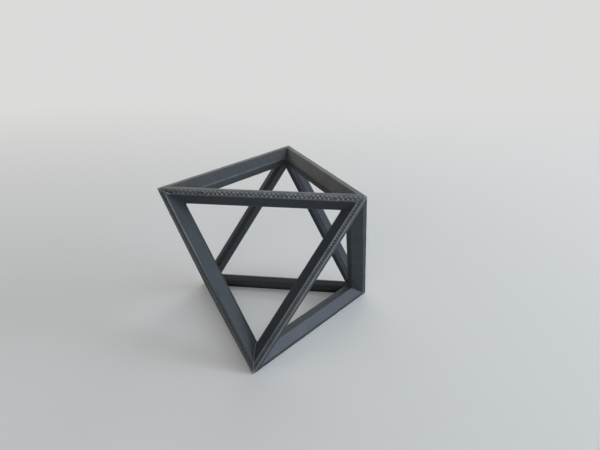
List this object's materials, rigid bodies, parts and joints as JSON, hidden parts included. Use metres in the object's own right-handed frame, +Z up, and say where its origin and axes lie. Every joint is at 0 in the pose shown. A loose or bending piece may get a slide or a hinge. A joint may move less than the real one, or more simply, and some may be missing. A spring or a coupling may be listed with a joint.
{
  "type": "geometric ornament",
  "caption": "Open octahedral frame of mitred straight bars with narrow outer ridges, resting on a triangular face, as a printed tabletop ornament.",
  "frame": {"origin": "centre of the base triangle, on the surface that the frame rests on", "axes": "+Z up, square to the base and top triangles; -Y towards the base triangle's front corner; +X to the right as seen from the front"},
  "size_m": [0.0796, 0.092, 0.0653],
  "materials": {
    "filament": "satin, printed in fine layers"
  },
  "bodies": {
    "root": {"top_front_bar": "filament", "top_left_bar": "filament", "top_right_bar": "filament", "base_left_bar": "filament", "base_right_bar": "filament", "base_back_bar": "filament", "side_front_left_bar": "filament", "side_front_right_bar": "filament", "side_right_bar": "filament", "side_back_right_bar": "filament", "side_back_left_bar": "filament", "side_left_bar": "filament"}
  },
  "joints": []
}
